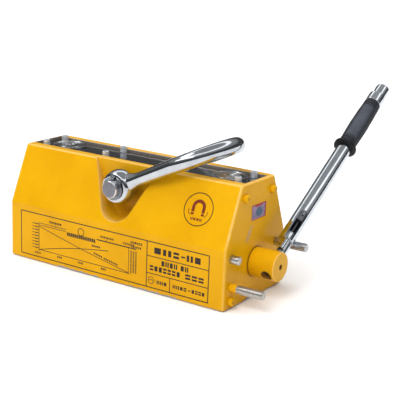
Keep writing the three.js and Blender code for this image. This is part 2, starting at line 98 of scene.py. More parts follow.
# The grip's outline above its flange, as height and radius.
GRIP_SWELL = [
    (246, 13.7), (252, 13.2), (262, 13.45), (272, 13.8), (290, 14.1), (312, 13.7), (334, 13.0),
    (339.6, 12.7),
]
RIB_PITCH = 4.4
SMOOTH_PANEL = FACING - 0.35
PANEL_MIDDLE, PANEL_REACH, PANEL_FADE = 292, 30, 8


def on_handle(offset):
    """The handle's frame moved sideways, from the tube's axis by offset."""
    return HANDLE @ Matrix.Translation((Vector((*TUBE_AT, 0)) + offset) * MM)


LATCH_OFF, KNOB_OFF = facing * 4.3, across * 1.2
TUBE_AXIS, LATCH_AXIS, KNOB_AXIS = on_handle(0 * Z), on_handle(LATCH_OFF), on_handle(KNOB_OFF)

# ---------- camera ----------
VIEW_FROM = (33.3, 15.5, 2.21)  # azimuth, elevation and roll, in degrees
DISTANCE, LENS = 1451, 93.33
LOOK_AT = (93, 0, 117)
SHIFT = (0.005, 0.0075)


def placed(name, data):
    """A new object in the scene."""
    obj = bpy.data.objects.new(name, data)
    bpy.context.scene.collection.objects.link(obj)
    return obj


def make_camera():
    data = bpy.data.cameras.new("camera")
    camera = placed("camera", data)
    a, e, r = (radians(v) for v in VIEW_FROM)
    back = Vector((sin(a) * cos(e), -cos(a) * cos(e), sin(e)))
    right = (-back).cross(Z).normalized()
    up = right.cross(-back)
    rolled_right = cos(r) * right + sin(r) * up
    rolled_up = -sin(r) * right + cos(r) * up
    place = basis(rolled_right, rolled_up, back)
    place.translation = at(*LOOK_AT).translation + back * DISTANCE * MM
    camera.matrix_world = place
    data.sensor_width = 36
    data.lens = LENS
    data.shift_x, data.shift_y = SHIFT
    data.clip_start, data.clip_end = 0.05, 60
    data.dof.use_dof = False
    bpy.context.scene.camera = camera


make_camera()


# ---------- shapes ----------
def spread(start, end, steps):
    return [start + (end - start) * i / steps for i in range(steps + 1)]


def on_circle(radius, angles, x=0, y=0):
    return [(x + radius * cos(a), y + radius * sin(a)) for a in angles]


def outward(bm):
    bmesh.ops.recalc_face_normals(bm, faces=bm.faces)
    return bm


def bridge(bm, low, high):
    """Faces between two rings of points; a ring may be one point many times over."""
    for i in range(len(low)):
        j = (i + 1) % len(low)
        corners = list(dict.fromkeys([low[i], low[j], high[j], high[i]]))
        if len(corners) > 2:
            bm.faces.new(corners)


def rounded(corners, closed=True, steps=4):
    """Outline points for corners (a, b, radius), with an arc at each corner that has a radius."""
    points = []
    count = len(corners)
    for i, (a, b, radius) in enumerate(corners):
        here = Vector((a, b))
        if not radius or (not closed and i in (0, count - 1)):
            points.append(here)
            continue
        before = (Vector(corners[i - 1][:2]) - here).normalized()
        after = (Vector(corners[(i + 1) % count][:2]) - here).normalized()
        half = before.angle(after) / 2
        reach = radius / tan(half)
        centre = here + (before + after).normalized() * (radius / sin(half))
        start, end = here + before * reach - centre, here + after * reach - centre
        arms = (start.lerp(end, k / steps).normalized() for k in range(steps + 1))
        points += [centre + arm * radius for arm in arms]
    return [(p.x, p.y) for p in points]


def lathe(points, sides=96, closed=False, depth=None):
    """(radius, height) points turned about the local z axis, less a depth(angle, height)."""
    bm = bmesh.new()
    rings = []
    for radius, height in points:
        if radius < 1e-9:
            rings.append([bm.verts.new((0, 0, height))] * sides)
            continue
        ring = []
        for i in range(sides):
            angle = TURN * i / sides
            r = radius - (depth(angle, height) if depth else 0)
            ring.append(bm.verts.new((r * cos(angle), r * sin(angle), height)))
        rings.append(ring)
    pairs = list(zip(rings, rings[1:]))
    if closed:
        pairs.append((rings[-1], rings[0]))
    for low, high in pairs:
        bridge(bm, low, high)
    return outward(bm)


def turned(corners, sides=96, **rest):
    return lathe(rounded(corners, closed=False), sides, **rest)


def rod(radius, start, end, sides=64):
    return lathe([(0, start), (radius, start), (radius, end), (0, end)], sides)


def extrude(bm, outline, start, end):
    """Adds an outline in the local x and y, extruded along z."""
    low = [bm.verts.new((a, b, start)) for a, b in outline]
    high = [bm.verts.new((a, b, end)) for a, b in outline]
    bm.faces.new(low[::-1])
    bm.faces.new(high)
    bridge(bm, low, high)


def prism(outline, start, end):
    bm = bmesh.new()
    extrude(bm, outline, start, end)
    return outward(bm)


def block(xs, ys, zs):
    corners = [(xs[0], ys[0]), (xs[1], ys[0]), (xs[1], ys[1]), (xs[0], ys[1])]
    return prism(corners, *zs)


def sweep(points, sizes, sides=48):
    """A solid bar along points in the local xy plane; sizes are its half width and half height."""
    bm = bmesh.new()
    rings = []
    for i, point in enumerate(points):
        ahead = points[min(i + 1, len(points) - 1)]
        behind = points[max(i - 1, 0)]
        side = Z.cross((ahead - behind).normalized())
        wide, high = sizes[i]
        angles = [TURN * k / sides for k in range(sides)]
        ring = [point + side * wide * cos(a) + Z * high * sin(a) for a in angles]
        rings.append([bm.verts.new(v) for v in ring])
    for low, high in zip(rings, rings[1:]):
        bridge(bm, low, high)
    bm.faces.new(rings[0])
    bm.faces.new(rings[-1])
    return outward(bm)


def moved(bm, matrix):
    bm.transform(matrix)
    return bm


def shifted(bm, x=0, y=0, z=0):
    return moved(bm, Matrix.Translation((x, y, z)))


def mesh_of(bm, name="solid"):
    mesh = bpy.data.meshes.new(name)
    bm.to_mesh(mesh)
    bm.free()
    return mesh


def in_metres(bm):
    bmesh.ops.scale(bm, vec=(MM, MM, MM), verts=bm.verts)
    return bm


def combine(base, tools, operation="DIFFERENCE"):
    body, *cutters = (placed("solid", mesh_of(solid)) for solid in (base, *tools))
    for cutter in cutters:
        step = body.modifiers.new("step", "BOOLEAN")
        step.operation, step.solver, step.object = operation, "EXACT", cutter
    bpy.context.view_layer.update()
    made = bmesh.new()
    made.from_object(body, bpy.context.evaluated_depsgraph_get())
    for used in (body, *cutters):
        mesh = used.data
        bpy.data.objects.remove(used)
        bpy.data.meshes.remove(mesh)
    bmesh.ops.remove_doubles(made, verts=made.verts, dist=1e-4)
    return made


def soften(bm, width, chosen, segments=3):
    """Rounds the edges whose two ends satisfy chosen(point)."""
    edges = [
        e
        for e in bm.edges
        if len(e.link_faces) == 2
        and e.calc_face_angle(0) > radians(25)
        and all(chosen(v.co) for v in e.verts)
    ]
    shape = {"offset": width, "segments": segments, "profile": 0.5, "clamp_overlap": False}
    bmesh.ops.bevel(bm, geom=edges, affect="EDGES", **shape)
    return bm


def piece(name, bm, body, look, place=BLOCK, slot=None, replaces=(), smooth=32, even=False):
    """A finished piece in its own frame, in metres, riding on a body."""
    mesh = mesh_of(in_metres(bm), name)
    mesh.polygons.foreach_set("use_smooth", [True] * len(mesh.polygons))
    mesh.set_sharp_from_angle(angle=radians(smooth))
    mesh.materials.append(look)
    obj = placed(name, mesh)
    obj.matrix_world = place
    if even:
        normals = obj.modifiers.new("normals", "WEIGHTED_NORMAL")
        normals.keep_sharp = True
    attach(obj, body)
    if replaces:
        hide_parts(*replaces)


# ---------- materials ----------
class Look:
    """A material in the making. Its coordinates are millimetres in the piece's own frame."""

    def __init__(self, name, **fixed):
        self.material = bpy.data.materials.new(name)
        self.material.use_nodes = True
        tree = self.material.node_tree
        self.nodes, self.links = tree.nodes, tree.links
        self.shader = self.nodes["Principled BSDF"]
        place = self.nodes.new("ShaderNodeTexCoord").outputs["Object"]
        self.place = self.vector("SCALE", place, 1 / MM)
        split = self.add("SeparateXYZ", {"Vector": self.place})
        self.x, self.y, self.z = (split.outputs[k] for k in "XYZ")
        for socket, value in fixed.items():
            self.shader.inputs[socket.replace("_", " ")].default_value = value

    def put(self, socket, value):
        if isinstance(value, bpy.types.NodeSocket):
            self.links.new(value, socket)
        elif isinstance(value, tuple) and len(value) == 3 and len(socket.default_value) == 4:
            socket.default_value = (*value, 1)
        else:
            socket.default_value = value

    def add(self, kind, inputs=None, **settings):
        node = self.nodes.new("ShaderNode" + kind)
        for key, value in settings.items():
            setattr(node, key, value)
        for key, value in (inputs or {}).items():
            self.put(node.inputs[key], value)
        return node

    def vector(self, operation, a, b):
        node = self.add("VectorMath", operation=operation)
        self.put(node.inputs[0], a)
        self.put(node.inputs["Scale" if operation == "SCALE" else 1], b)
        return node.outputs["Value" if operation == "DOT_PRODUCT" else "Vector"]

    def math(self, operation, a, b=0.0):
        node = self.add("Math", operation=operation)
        self.put(node.inputs[0], a)
        self.put(node.inputs[1], b)
        return node.outputs[0]

    def noise(self, size, detail=3, roughness=0.55, vector=None):
        """A noise whose features are about size millimetres across."""
        inputs = {"Scale": 1 / size, "Detail": detail, "Roughness": roughness}
        inputs["Vector"] = vector or self.place
        return self.add("TexNoise", inputs).outputs["Fac"]

    def levels(self, value, low, high, start=0.0, end=1.0):
        inputs = {"Value": value, "From Min": low, "From Max": high, "To Min": start, "To Max": end}
        return self.add("MapRange", inputs).outputs["Result"]

    def window(self, value, low, high, soft):
        """1 between low and high, falling to 0 over soft."""
        rise = self.levels(value, low - soft, low)
        fall = self.levels(value, high, high + soft, 1.0, 0.0)
        return self.times(rise, fall)

    def mixed(self, kind, first, factor, a, b):
        """The Mix node has sockets of its own for each kind of data, from input first."""
        node = self.add("Mix", data_type=kind)
        for socket, value in ((0, factor), (first, a), (first + 1, b)):
            self.put(node.inputs[socket], value)
        return node.outputs

    def blend(self, factor, a, b):
        return self.mixed("RGBA", 6, factor, a, b)[2]

    def mix_vectors(self, factor, a, b):
        return self.mixed("VECTOR", 4, factor, a, b)[1]

    def times(self, *values):
        return reduce(partial(self.math, "MULTIPLY"), values)

    def most(self, *values):
        return reduce(partial(self.math, "MAXIMUM"), values)

    def plus(self, a, b):
        return self.math("ADD", a, b)

    def less(self, a, b):
        return self.math("SUBTRACT", a, b)

    def size(self, value):
        return self.math("ABSOLUTE", value)

    def radius(self, a=None, b=None):
        """The length of a and b together, or else the distance from the local z axis."""
        a, b = a or self.x, b or self.y
        return self.math("SQRT", self.plus(self.times(a, a), self.times(b, b)))

    def true_normal(self):
        return self.add("NewGeometry").outputs["Normal"]

    def bump(self, height, depth, below=None):
        """depth is in millimetres."""
        inputs = {"Height": height, "Strength": 1.0, "Distance": depth * MM}
        if below:
            inputs["Normal"] = below
        return self.add("Bump", inputs).outputs["Normal"]

    def soft_edges(self, radius):
        return self.add("Bevel", {"Radius": radius * MM}, samples=6).outputs["Normal"]

    def edge_mask(self, rounded_normal):
        same = self.vector("DOT_PRODUCT", rounded_normal, self.true_normal())
        return self.levels(same, 0.995, 0.86)

    def finish(self, color, roughness, normal=None, metallic=None):
        self.put(self.shader.inputs["Base Color"], color)
        self.put(self.shader.inputs["Roughness"], roughness)
        if normal:
            self.put(self.shader.inputs["Normal"], normal)
        if metallic is not None:
            self.put(self.shader.inputs["Metallic"], metallic)
        return self.material


YELLOW_LIGHT = (0.70, 0.358, 0.003)
YELLOW_DEEP = (0.645, 0.318, 0.002)
YELLOW_MOTTLE = (0.60, 0.275, 0.008)
# Pale edge paint, which also serves as a painted highlight.
THIN_PAINT_AND_HIGHLIGHT = (0.88, 0.59, 0.21)
# A dark dirt colour for the specks, which also serves as painted shade.
DIRT_AND_SHADE = (0.20, 0.09, 0.018)
BARE = (0.50, 0.48, 0.45)
BARE_DARK = (0.30, 0.27, 0.24)


def enamel(name, masks=None):
    """Thick glossy yellow enamel. masks(look) gives its painted shade and dark walls, bare metal
    and painted highlights.
    """
    look = Look(name, Specular_IOR_Level=0.09, Coat_Weight=0.03, Coat_Roughness=0.15)
    cloud = look.noise(70, 2)
    mottle = look.noise(7, 4, 0.6)
    color = look.blend(look.levels(cloud, 0.35, 0.65), YELLOW_LIGHT, YELLOW_DEEP)
    color = look.blend(look.levels(mottle, 0.5, 0.75, 0, 0.22), color, YELLOW_MOTTLE)
    edges = look.soft_edges(1.1)
    worn = look.edge_mask(edges)
    if masks is block_masks:
        # The seam between the poles and the end plates is filled and painted over.
        from_seam = look.size(look.less(look.size(look.x), INSIDE))
        open_edge = look.levels(from_seam, 1.3, 1.6)
        worn = look.times(worn, open_edge)
        edges = look.mix_vectors(open_edge, look.true_normal(), edges)
    # Pale sharp edges: partly paint worn thin, partly a painted highlight.
    thin = look.times(worn, look.levels(look.noise(5, 4), 0.35, 0.62), 0.6)
    color = look.blend(thin, color, THIN_PAINT_AND_HIGHLIGHT)
    chips = look.times(worn, look.levels(look.noise(2.6, 3, 0.7), 0.665, 0.70))
    specks = look.levels(look.noise(1.7, 1), 0.765, 0.79)
    color = look.blend(look.times(specks, 0.5), color, DIRT_AND_SHADE)
    if masks:
        # The masks give painted shade (with the recess's dark walls), bare steel and painted
        # highlights.
        painted_shade_and_walls, bare, painted_highlight = masks(look)
        color = look.blend(painted_highlight, color, THIN_PAINT_AND_HIGHLIGHT)
        color = look.blend(painted_shade_and_walls, color, DIRT_AND_SHADE)
        chips = look.most(chips, bare)
    steel = look.blend(look.noise(1.3, 4), BARE, BARE_DARK)
    color = look.blend(chips, color, steel)
    roughness = look.levels(mottle, 0.3, 0.75, 0.26, 0.42)
    peel = look.bump(look.noise(1.8, 2), 0.035, edges)
    waves = look.bump(look.noise(22, 2), 0.30, peel)
    return look.finish(color, roughness, waves, look.times(chips, 0.85))


def block_masks(look):
    """The block's painted shade and dark recess walls, its bare steel and painted highlights."""
    ragged = look.noise(9, 4, 0.65)
    out, along = look.size(look.y), look.size(look.x)
    way = look.add("SeparateXYZ", {"Vector": look.true_normal()})
    way_x, way_y, way_z = (way.outputs[k] for k in "XYZ")
    end_face = look.window(look.x, HALF - 1, HALF + 1, 0.5)

    # Painted shade in the bail's pockets, darker deeper in, and a painted shadow ring where the hub
    # meets the drive end.
    depth = look.less(look.less(SIDE_Y + KNEE_Z * SLOPE, look.times(look.z, SLOPE)), out)
    pocket = look.times(
        look.levels(depth, 0.6, 16),
        look.window(look.x, -POCKET_REACH, POCKET_REACH, 1),
        look.window(look.z, POCKET_LOW, TOP_Z - 0.6, 0.4),
        look.levels(out, 39.5, 40.5),
        look.levels(ragged, 0.3, 0.7, 0.0, 0.32),
    )
    from_hub = look.less(look.radius(look.y, look.less(look.z, CORE_Z)), HUB_RADIUS)
    ring = look.times(look.levels(from_hub, 3.5, 0.0), look.window(look.x, HALF - 6, HALF + 1, 0.5))
    painted_shade_and_walls = look.most(pocket, look.times(ring, 0.7))

    # A slanting rub on the drive end.
    slant = look.less(look.plus(look.y, 20), look.times(look.less(look.z, 96), 0.5))
    rub = look.times(
        look.window(slant, -2.6, 2.6, 3),
        look.window(look.z, 89, 104, 5),
        end_face,
        look.levels(look.noise(3, 3), 0.4, 0.6, 0.15, 0.6),
    )

    # Bare steel on the pole faces, and in a ragged strip along two stretches of the bottom edge.
    under = look.times(look.levels(way_z, -0.55, -0.75), look.levels(look.z, 10, 7))
    height = look.plus(look.z, look.levels(ragged, 0.3, 0.7, -2.2, 2.2))
    spans = look.plus(look.window(look.x, -92, -28, 9), look.window(look.x, 34, 110, 9))
    broken = look.levels(look.less(spans, ragged), 0.0, 0.05)
    strip = look.times(look.levels(height, 3.8, 3.2), broken)

    # Dark bare walls in the recess of the top plate.
    inside = look.times(
        look.levels(along, RECESS["length"] + 0.7, RECESS["length"] + 0.4),
        look.levels(out, RECESS["half"] + 0.7, RECESS["half"] + 0.4),
        look.levels(look.z, 150, 151),
    )
    painted_shade_and_walls = look.most(painted_shade_and_walls, inside)
    bare = look.most(under, strip, rub, look.times(inside, 0.8))

    # Painted highlights on the rounded upright end edges, the top edges and the rims of the
    # pockets.
    upright = look.times(
        look.window(look.size(way_x), 0.28, 0.80, 0.16),
        look.levels(look.z, KNEE_Z + 1.5, KNEE_Z + 15.5, 0.25, 0.62),
        look.levels(along, HALF - 5, HALF - 4),
        look.levels(ragged, 0.25, 0.6, 0.6, 1.0),
    )
    top_edges = look.times(
        look.window(way_z, 0.55, 0.9, 0.12),
        look.levels(look.z, TOP_Z - 6, TOP_Z - 4, 0, 0.45),
    )
    rims = look.times(
        look.levels(depth, 0.1, 0.6),
        look.levels(depth, 13, 1.5, 0, 0.5),
        look.levels(look.size(way_y), 0.85, 0.5),
        look.window(look.x, -POCKET_REACH - 1, POCKET_REACH + 1, 1),
        look.levels(look.z, POCKET_LOW, POCKET_LOW + 2),
    )
    return painted_shade_and_walls, bare, look.most(upright, top_edges, rims)


def pin_masks(look):
    """Paint on the first stretch of the low front stop pin, with a ragged end."""
    end = look.plus(look.z, look.levels(look.noise(2.5, 3), 0.3, 0.7, -1.2, 1.2))
    return 0.0, look.levels(end, HALF + 10.4, HALF + 10.8), 0.0


def hub_masks(look):
    """Painted shade in the hub's cross hole and centre hole, and a painted highlight along its
    outer edge.
    """
    rise, fall = look.times(look.y, cos(HANDLE_TURN)), look.times(look.z, sin(HANDLE_TURN))
    off = look.less(rise, fall)
    cross = look.levels(look.radius(look.x, off), CROSS_HOLE + 0.4, CROSS_HOLE + 0.1)
    centre = look.levels(look.radius(look.y, look.z), CENTRE_HOLE + 0.5, CENTRE_HOLE + 0.1)
    end = HUB_END - HANDLE_X
    edge = look.window(look.x, end - 1.4, end - 0.4, 0.5)
    return look.times(look.most(cross, centre), 0.9), 0.0, look.times(edge, 0.4)


PALE_RIM = (0.62, 0.63, 0.66)
OLD_DIRT = (0.10, 0.07, 0.045)


def metal(name, light, dark, rough, grain=0, dirt=0, smudge=16, rings=None, rim=None, share=1):
    """Bare or plated metal, with smudges, fine scratches, dirt specks and a turned face's rings."""
    look = Look(name, Metallic=share)
    tone = look.noise(smudge, 4, 0.6)
    drawn_out = look.vector("MULTIPLY", look.place, (2.2, 2.2, 0.06))
    scratch = look.noise(1.0, 2, vector=drawn_out)
    color = look.blend(look.levels(tone, 0.35, 0.7), light, dark)
    if rim:
        color = look.blend(look.levels(look.radius(), rim - 0.3, rim), color, PALE_RIM)
    roughness = look.levels(tone, 0.3, 0.7, *rough)
    roughness = look.plus(roughness, look.levels(scratch, 0.5, 0.8, 0.0, grain))
    if dirt:
        spots = look.levels(look.noise(1.5, 3, 0.65), 0.66, 0.72)
        patches = look.times(spots, look.levels(look.noise(20, 2), 0.45, 0.65), dirt)
        color = look.blend(patches, color, OLD_DIRT)
        roughness = look.plus(roughness, look.times(patches, 0.4))
    normal = look.bump(look.noise(0.9, 3), 0.004, look.soft_edges(0.35))
    if rings:
        wave = look.math("SINE", look.times(look.radius(), TURN / rings))
        normal = look.bump(wave, 0.006, normal)
        roughness = look.plus(roughness, look.levels(wave, -1, 1, 0.0, 0.06))
    return look.finish(color, roughness, normal)


def rubber():
    """The grip's rubber, with painted shade in the grooves, darker on the flange and off the
    smoother panels.
    """
    look = Look("ribbed_rubber", Specular_IOR_Level=0.28)
    tone = look.noise(24, 3)
    color = look.blend(look.levels(tone, 0.35, 0.7), (0.048, 0.054, 0.070), (0.068, 0.075, 0.094))
    dust = look.levels(look.noise(3, 4, 0.7), 0.55, 0.75, 0, 0.3)
    color = look.blend(dust, color, (0.085, 0.088, 0.105))
    start = GRIP_SWELL[0][0]
    wave = look.math("COSINE", look.times(look.less(look.z, start), TURN / RIB_PITCH))
    toward_x, toward_y = cos(SMOOTH_PANEL), sin(SMOOTH_PANEL)
    ahead = look.plus(look.times(look.x, toward_x), look.times(look.y, toward_y))
    panel = look.math("POWER", look.math("DIVIDE", ahead, look.radius()), 2.0)
    from_middle = look.size(look.less(look.z, PANEL_MIDDLE))
    beyond = look.levels(from_middle, PANEL_REACH, PANEL_REACH + PANEL_FADE)
    ribbed = look.most(look.levels(panel, 0.85, 0.35), beyond)
    # Painted shade in the grooves between the ribs.
    groove = look.times(look.levels(wave, 0.2, -0.6), ribbed, 0.95)
    flange = look.levels(look.z, start, start - 2, 0.0, 0.92)
    shade = look.most(groove, flange, look.times(ribbed, 0.55))
    color = look.blend(shade, color, (0.003, 0.003, 0.004))
    roughness = look.levels(tone, 0.3, 0.7, 0.46, 0.62)
    return look.finish(color, roughness, look.bump(look.noise(0.7, 3), 0.03))


def ink(name, color, faded, roughness=0.42):
    look = Look(name, Specular_IOR_Level=0.3)
    wear = look.levels(look.noise(3.5, 4, 0.7), 0.48, 0.72, 0.0, 0.55)
    return look.finish(
        look.blend(wear, color, faded),
        look.levels(look.noise(5), 0.3, 0.7, roughness - 0.08, roughness + 0.12),
        look.bump(look.noise(1.2), 0.01),
    )


BODY_PAINT = enamel("block_enamel", block_masks)
PAINT = enamel("enamel")
PIN_PAINT = enamel("stop_pin_enamel", pin_masks)
HUB_PAINT = enamel("hub_enamel", hub_masks)
CHROME = metal("chrome_plate", (0.66, 0.70, 0.74), (0.53, 0.57, 0.61), (0.05, 0.13), 0.05, 0.6)
BAIL_CHROME = metal(
    "bail_chrome", (0.535, 0.56, 0.595), (0.43, 0.455, 0.49), (0.05, 0.13), 0.05, 0.6
)
TUBE_CHROME = metal(
    "drawn_chrome", (0.60, 0.64, 0.68), (0.47, 0.51, 0.55), (0.07, 0.15), 0.08, 0.5
)
PLATE = metal("polished_plate", (0.56, 0.57, 0.59), (0.40, 0.41, 0.43), (0.05, 0.16), 0.05, 0.5)
PLUG_STEEL = metal(
    "turned_plug", (0.62, 0.63, 0.64), (0.46, 0.47, 0.48), (0.09, 0.20), 0.03, rings=1.9
)
ZINC = metal(
    "zinc_plate", (0.80, 0.82, 0.85), (0.62, 0.64, 0.67), (0.30, 0.44), 0.10, 0.3, 6, share=0.6
)
STEEL = metal("bare_steel", (0.40, 0.41, 0.43), (0.27, 0.28, 0.30), (0.22, 0.36), 0.10, 0.5, 9)
STOP_STEEL = metal(
    "stop_steel", (0.54, 0.545, 0.56), (0.40, 0.405, 0.42), (0.26, 0.38), 0.10, 0.4, 6
)
KEY_STEEL = metal("key_steel", (0.26, 0.27, 0.30), (0.17, 0.175, 0.20), (0.30, 0.44), 0.08, 0.3, 7)
OILED_STEEL = metal(
    "oiled_steel", (0.13, 0.135, 0.15), (0.075, 0.078, 0.09), (0.30, 0.44), 0.08, 0.3, 7
)
PIN_TONES = ((0.205, 0.205, 0.225), (0.155, 0.152, 0.17))
PIN_STEEL = metal("turned_steel", *PIN_TONES, (0.18, 0.30), 0.05, rings=0.9, rim=11.3)
BRASS = metal("brass", (0.66, 0.48, 0.20), (0.50, 0.34, 0.13), (0.25, 0.42), 0.08, 0.5)
MAGNET = metal("magnet", (0.24, 0.25, 0.26), (0.15, 0.15, 0.16), (0.34, 0.50), 0.05)
RUBBER = rubber()
BLACK_INK = ink("black_ink", (0.018, 0.010, 0.006), (0.085, 0.040, 0.008))
RED_INK = ink("red_ink", (0.33, 0.016, 0.030), (0.44, 0.08, 0.08))
BROWN_INK = ink("brown_ink", (0.16, 0.022, 0.006), (0.30, 0.07, 0.01))
GREY_INK = ink("grey_ink", (0.24, 0.17, 0.28), (0.44, 0.30, 0.33), 0.35)
TEAL_INK = ink("teal_ink", (0.05, 0.10, 0.17), (0.11, 0.15, 0.22), 0.35)

# ---------- painted block ----------
HALF_SECTION = [
    (12, 3.43, 0), (GROOVE[0], 0, 0), (SIDE_Y, 0, 4.4), (SIDE_Y, KNEE_Z, 7),
    (TOP_Y, TOP_Z, 4.2), (RECESS["half"], TOP_Z, 1.0), (RECESS["half"], RECESS["floor"], 0),
    (14, RECESS["floor"], 0), (14, CORE_Z, 0), (12, CORE_Z, 0),
]


def pocket_outline():
    tangent = atan(POCKET["lean"])
    past = 6
    top = (POCKET["top"] + past * POCKET["lean"], TOP_Z + past)
    angles = spread(pi + tangent, TURN - tangent, 40)
    return [(-top[0], top[1]), *on_circle(POCKET["radius"], angles, 0, POCKET["z"]), top]


def pole_shell(side):
    outline = [(side * y, z) for y, z in rounded(HALF_SECTION, steps=6)]
    body = moved(prism(outline, -INSIDE, INSIDE), ALONG_X)
    core = moved(shifted(rod(41.3, -HALF, HALF, 96), 0, CORE_Z), ALONG_X)
    near, far = sorted((-side * POCKET["floor"], -side * (SIDE_Y + 5)))
    pocket = moved(prism(pocket_outline(), near, far), FROM_FRONT)
    hole = moved(shifted(rod(12.8, -100, 100, 64), PIN_Z), ALONG_Y)
    body = combine(body, [core, pocket, hole])

    def on_mouth(p):
        slope_y = SIDE_Y - (p.z - KNEE_Z) * SLOPE
        on_slope = abs(abs(p.y) - slope_y) < 0.03
        return abs(p.x) < POCKET_REACH + 3 and p.z > POCKET_LOW + 1.5 and on_slope

    return soften(body, MOUTH_ROUND, on_mouth, 4)


def end_shell(end):
    outer = rounded(HALF_SECTION[1:5] + [(0, TOP_Z, 0)], closed=False, steps=6)[:-1]
    mirrored = [(-y, z) for y, z in reversed(outer)]
    outline = [*outer, *mirrored, (0, GROOVE[1])]
    body = prism(outline, INSIDE, HALF)
    soften(body, END_ROUND, lambda p: abs(p.z - HALF) < 1e-3, 6)
    reach = HALF + 5 if end > 0 else HALF - 2
    bore = shifted(rod(20, INSIDE - 2, reach, 96), 0, CORE_Z)
    half_turn = Matrix.Rotation(pi, 3, "Z")
    for solid in (body, bore):
        moved(solid, ALONG_X)
        if end < 0:
            bmesh.ops.rotate(solid, verts=solid.verts, matrix=half_turn)
    half, length = RECESS["half"], RECESS["length"]
    recess = block((-length, length), (-half, half), (RECESS["floor"], TOP_Z + 5))
    body = combine(body, [bore, recess])

    def on_rim(p):
        return abs(abs(p.x) - length) < 0.05 and abs(p.z - TOP_Z) < 0.05

    return soften(body, 1.0, on_rim, 3)


shells = {
    "front_pole": pole_shell(-1),
    "rear_pole": pole_shell(1),
    "end_plate_far": end_shell(-1),
    "end_plate_drive": end_shell(1),
}
for name, shell in shells.items():
    painted = name + "_painted"
    piece(painted, shell, "housing", BODY_PAINT, slot="yellow_paint", replaces=[name], even=True)


# ---------- fasteners, plugs and pins ----------
def socket_screw(shank, head, tip, under, top, knurl=0.0, edge=0.7, socket=(0.58, 0.65)):
    """A cap screw along z; socket is its width and depth as shares of the head's radius."""
    teeth = 30

    def cut_teeth(angle, height):
        within = under + edge < height < top - edge
        return knurl * (0.5 - 0.5 * cos(teeth * angle)) if within else 0

    low, high = under + edge + 0.1, top - edge - 0.1
    corners = [
        (0, tip, 0), (shank, tip, 0.4), (shank, under, 0), (head, under, 0.3),
        (head, low, 0), (head, high, 0), (head, top, edge), (0, top, 0),
    ]
    body = turned(corners, teeth * 6, depth=cut_teeth if knurl else None)
    wide, deep = socket
    return combine(body, [rod(head * wide, top - head * deep, top + 1, 6)])


def split_washer():
    corners = [(3.4, 163.3, 0.2), (5.2, 163.3, 0.3), (5.2, 164.8, 0.3), (3.4, 164.8, 0.2)]
    ring = lathe(rounded(corners, steps=2), 64, closed=True)
    return combine(ring, [block((0, 10), (-0.5, 0.5), (160, 168))])


SCREW_X = (-169, -56, 56, 169)
SCREW_Y = 21
spots = [(x, side * SCREW_Y) for x in SCREW_X for side in (-1, 1)]
for i, (x, y) in enumerate(spots, 1):
    place = at(x, y, 0, Matrix.Rotation(0.7 * i, 4, "Z"))
    screw, washer = socket_screw(3, 5, 146, 165, 171.8, 0.22), split_washer()
    piece(f"cap_screw_{i}", screw, "housing", ZINC, place, "zinc_plate", [f"top_screw_{i}"])
    replaced = [f"spring_washer_{i}"]
    piece(f"split_washer_{i}", washer, "housing", ZINC, place, "zinc_plate", replaced)

PLUG_OUTLINE = [
    (0, 163.3, 0), (26, 163.3, 0), (26, 165.6, 0.5), (23.8, 165.6, 0.4), (23.2, 164.6, 0.3),
    (17.0, 164.6, 0.2), (16.6, 165.0, 0.2), (15.6, 165.0, 0.2), (15.2, 164.6, 0.2),
    (9.2, 164.6, 0.3), (8.6, 164.0, 0.2), (4.2, 164.0, 0.2), (3.6, 163.7, 0), (0, 163.7, 0),
]
PLUG_X = 142
for name, x in (("drive", PLUG_X), ("far", -PLUG_X)):
    plug, replaced = turned(PLUG_OUTLINE), ["top_plug_" + name]
    piece("recess_plug_" + name, plug, "housing", PLUG_STEEL, at(x), "polished_plate", replaced)

END_SCREWS = [(-62, 12), (62, 12), (-35, 148), (35, 148)]
for side, sign in (("drive", 1), ("far", -1)):
    end_frame = basis(sign * Y, Z, sign * X)
    for i, (y, z) in enumerate(END_SCREWS, 1):
        place = at(0, sign * y, z, end_frame)
        screw = socket_screw(3.7, 5.8, HALF - 25, HALF, HALF + 6.5, edge=2.2, socket=(0.4, 0.22))
        name, replaced = f"end_cap_screw_{side}_{i}", [f"end_screw_{side}_{i}"]
        piece(name, screw, "housing", PAINT, place, "yellow_paint", replaced)

STOPS = {
    "long_stop_rear": (54, 68.1, 240, STOP_STEEL),
    "long_stop_front": (-60, 31, 240, PIN_PAINT),
    "short_stop_front": (-62, 71, 203, STOP_STEEL),
}
for name, (y, z, end, look) in STOPS.items():
    corners = [(0, 178, 0), (6, 178, 0), (6, end - 0.9, 0.3), (5.1, end, 0.3), (0, end, 0)]
    pin, place = turned(corners, 72), at(0, y, z, ALONG_X)
    piece(name + "_pin", pin, "housing", look, place, "zinc_plate", [name])

PIN_CORNERS = [
    (12.5, 74.5, 0), (11.7, 74.5, 0), (11.7, 76.4, 0), (12.5, 76.4, 0), (12.5, 82.3, 0.5),
    (11.4, 83.5, 0.5), (0, 83.5, 0),
]
pin = turned([(r, -h, f) for r, h, f in reversed(PIN_CORNERS)] + PIN_CORNERS)
place = at(0, 0, PIN_Z, ALONG_Y)
piece("bail_pin_turned", pin, "housing", PIN_STEEL, place, "bare_steel", ["bail_pin"])


